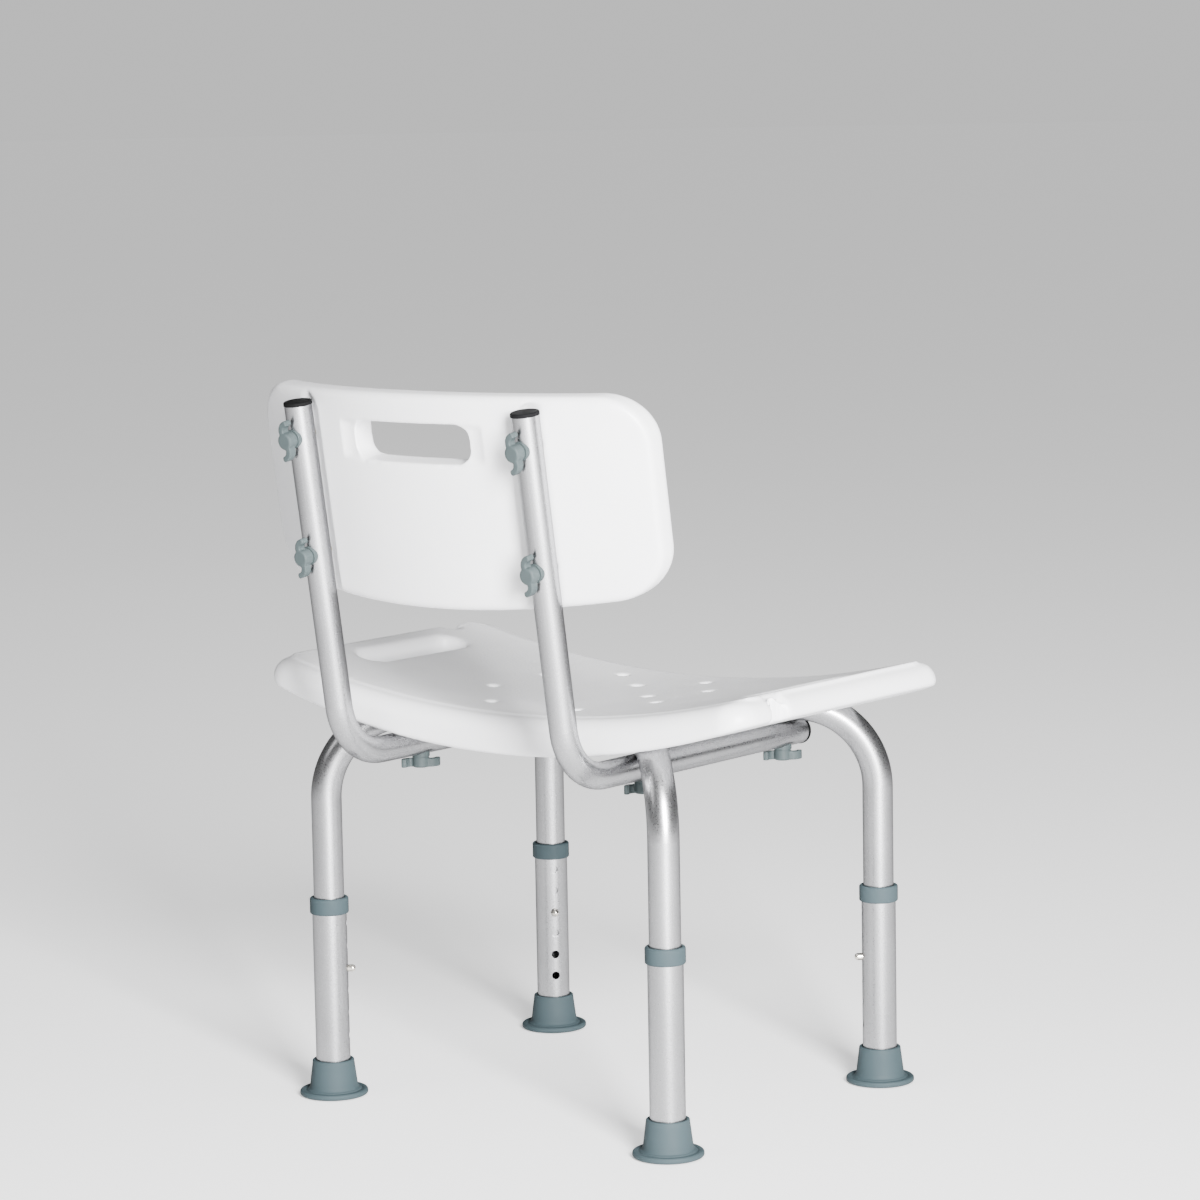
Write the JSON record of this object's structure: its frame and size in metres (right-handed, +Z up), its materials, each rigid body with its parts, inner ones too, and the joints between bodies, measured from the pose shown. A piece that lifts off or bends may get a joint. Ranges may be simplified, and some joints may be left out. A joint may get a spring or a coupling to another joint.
{
  "type": "shower chair",
  "caption": "Shower chair with a perforated contoured seat, concave backrest with a hand hole, bent tube frame and height-adjustable legs with rubber feet.",
  "frame": {"origin": "on the floor under the middle of the whole chair's box", "axes": "+X to the sitter's left, +Y to the rear, +Z up"},
  "size_m": [0.498, 0.4276, 0.6018],
  "materials": {
    "white_plastic": "satin blow-moulded polyethylene, finely pebbled on the sitting faces",
    "anodised_tube": "satin anodised",
    "grey_rubber": "matte moulded rubber",
    "grey_plastic": "matte moulded nylon",
    "black_plastic": "matte moulded plastic",
    "button_chrome": "polished plating",
    "insert_brass": "machined",
    "zinc_steel": "zinc plated"
  },
  "bodies": {
    "frame": {"seat_panel": "white_plastic", "backrest_panel": "white_plastic", "saddle_washers": "black_plastic", "seat_inserts": "insert_brass", "backrest_inserts": "insert_brass", "leg_clamps": "zinc_steel", "leg_clamp_screws": "zinc_steel", "back_tube_left": "anodised_tube", "top_cap_left": "black_plastic", "front_cap_left": "black_plastic", "back_tube_right": "anodised_tube", "top_cap_right": "black_plastic", "front_cap_right": "black_plastic", "upper_leg_tube_front_left": "anodised_tube", "button_spring_front_left": "zinc_steel", "upper_leg_tube_front_right": "anodised_tube", "button_spring_front_right": "zinc_steel", "upper_leg_tube_rear_left": "anodised_tube", "button_spring_rear_left": "zinc_steel", "upper_leg_tube_rear_right": "anodised_tube", "button_spring_rear_right": "zinc_steel"},
    "lower_leg_front_left": {"lower_leg_tube_front_left": "anodised_tube", "leg_collar_front_left": "grey_rubber", "rubber_foot_front_left": "grey_rubber", "foot_washer_front_left": "zinc_steel"},
    "button_front_left": {"snap_button_front_left": "button_chrome"},
    "seat_knob_front_left": {"seat_knob_front_left": "grey_plastic", "seat_screw_front_left": "zinc_steel"},
    "lower_leg_front_right": {"lower_leg_tube_front_right": "anodised_tube", "leg_collar_front_right": "grey_rubber", "rubber_foot_front_right": "grey_rubber", "foot_washer_front_right": "zinc_steel"},
    "button_front_right": {"snap_button_front_right": "button_chrome"},
    "seat_knob_front_right": {"seat_knob_front_right": "grey_plastic", "seat_screw_front_right": "zinc_steel"},
    "lower_leg_rear_left": {"lower_leg_tube_rear_left": "anodised_tube", "leg_collar_rear_left": "grey_rubber", "rubber_foot_rear_left": "grey_rubber", "foot_washer_rear_left": "zinc_steel"},
    "button_rear_left": {"snap_button_rear_left": "button_chrome"},
    "seat_knob_rear_left": {"seat_knob_rear_left": "grey_plastic", "seat_screw_rear_left": "zinc_steel"},
    "lower_leg_rear_right": {"lower_leg_tube_rear_right": "anodised_tube", "leg_collar_rear_right": "grey_rubber", "rubber_foot_rear_right": "grey_rubber", "foot_washer_rear_right": "zinc_steel"},
    "button_rear_right": {"snap_button_rear_right": "button_chrome"},
    "seat_knob_rear_right": {"seat_knob_rear_right": "grey_plastic", "seat_screw_rear_right": "zinc_steel"},
    "back_knob_upper_left": {"back_knob_upper_left": "grey_plastic", "back_screw_upper_left": "zinc_steel"},
    "back_knob_lower_left": {"back_knob_lower_left": "grey_plastic", "back_screw_lower_left": "zinc_steel"},
    "back_knob_upper_right": {"back_knob_upper_right": "grey_plastic", "back_screw_upper_right": "zinc_steel"},
    "back_knob_lower_right": {"back_knob_lower_right": "grey_plastic", "back_screw_lower_right": "zinc_steel"}
  },
  "joints": [
    {"name": "leg_height_front_left", "type": "slide", "parent": "frame", "child": "lower_leg_front_left", "axis": [0, 0, -1], "range_m": [-0.05715, 0.0381], "deforming": ["snap_button_front_left", "button_spring_front_left"]},
    {"name": "button_press_front_left", "type": "slide", "parent": "frame", "child": "button_front_left", "axis": [0.7547, -0.6561, 0], "range_m": [0, 0.0082], "stiffness_N_per_m": 500, "springref_m": -0.006, "deforming": ["button_spring_front_left"]},
    {"name": "seat_knob_turn_front_left", "type": "hinge", "parent": "frame", "child": "seat_knob_front_left", "pos_m": [0.1164, -0.13353, 0.297], "axis": [0, 0, -1], "continuous": true},
    {"name": "leg_height_front_right", "type": "slide", "parent": "frame", "child": "lower_leg_front_right", "axis": [0, 0, -1], "range_m": [-0.05715, 0.0381], "deforming": ["snap_button_front_right", "button_spring_front_right"]},
    {"name": "button_press_front_right", "type": "slide", "parent": "frame", "child": "button_front_right", "axis": [-0.7547, -0.6561, 0], "range_m": [0, 0.0082], "stiffness_N_per_m": 500, "springref_m": -0.006, "deforming": ["button_spring_front_right"]},
    {"name": "seat_knob_turn_front_right", "type": "hinge", "parent": "frame", "child": "seat_knob_front_right", "pos_m": [-0.1164, -0.13353, 0.297], "axis": [0, 0, -1], "continuous": true},
    {"name": "leg_height_rear_left", "type": "slide", "parent": "frame", "child": "lower_leg_rear_left", "axis": [0, 0, -1], "range_m": [-0.05715, 0.0381], "deforming": ["snap_button_rear_left", "button_spring_rear_left"]},
    {"name": "button_press_rear_left", "type": "slide", "parent": "frame", "child": "button_rear_left", "axis": [0.7547, 0.6561, 0], "range_m": [0, 0.0082], "stiffness_N_per_m": 500, "springref_m": -0.006, "deforming": ["button_spring_rear_left"]},
    {"name": "seat_knob_turn_rear_left", "type": "hinge", "parent": "frame", "child": "seat_knob_rear_left", "pos_m": [0.1164, 0.05585, 0.297], "axis": [0, 0, -1], "continuous": true},
    {"name": "leg_height_rear_right", "type": "slide", "parent": "frame", "child": "lower_leg_rear_right", "axis": [0, 0, -1], "range_m": [-0.05715, 0.0381], "deforming": ["snap_button_rear_right", "button_spring_rear_right"]},
    {"name": "button_press_rear_right", "type": "slide", "parent": "frame", "child": "button_rear_right", "axis": [-0.7547, 0.6561, 0], "range_m": [0, 0.0082], "stiffness_N_per_m": 500, "springref_m": -0.006, "deforming": ["button_spring_rear_right"]},
    {"name": "seat_knob_turn_rear_right", "type": "hinge", "parent": "frame", "child": "seat_knob_rear_right", "pos_m": [-0.1164, 0.05585, 0.297], "axis": [0, 0, -1], "continuous": true},
    {"name": "back_knob_turn_upper_left", "type": "hinge", "parent": "frame", "child": "back_knob_upper_left", "pos_m": [0.1164, 0.1899, 0.56101], "axis": [0, 0.9879, -0.1551], "continuous": true},
    {"name": "back_knob_turn_lower_left", "type": "hinge", "parent": "frame", "child": "back_knob_lower_left", "pos_m": [0.1164, 0.17505, 0.46637], "axis": [0, 0.9879, -0.1551], "continuous": true},
    {"name": "back_knob_turn_upper_right", "type": "hinge", "parent": "frame", "child": "back_knob_upper_right", "pos_m": [-0.1164, 0.1899, 0.56101], "axis": [0, 0.9879, -0.1551], "continuous": true},
    {"name": "back_knob_turn_lower_right", "type": "hinge", "parent": "frame", "child": "back_knob_lower_right", "pos_m": [-0.1164, 0.17505, 0.46637], "axis": [0, 0.9879, -0.1551], "continuous": true}
  ]
}
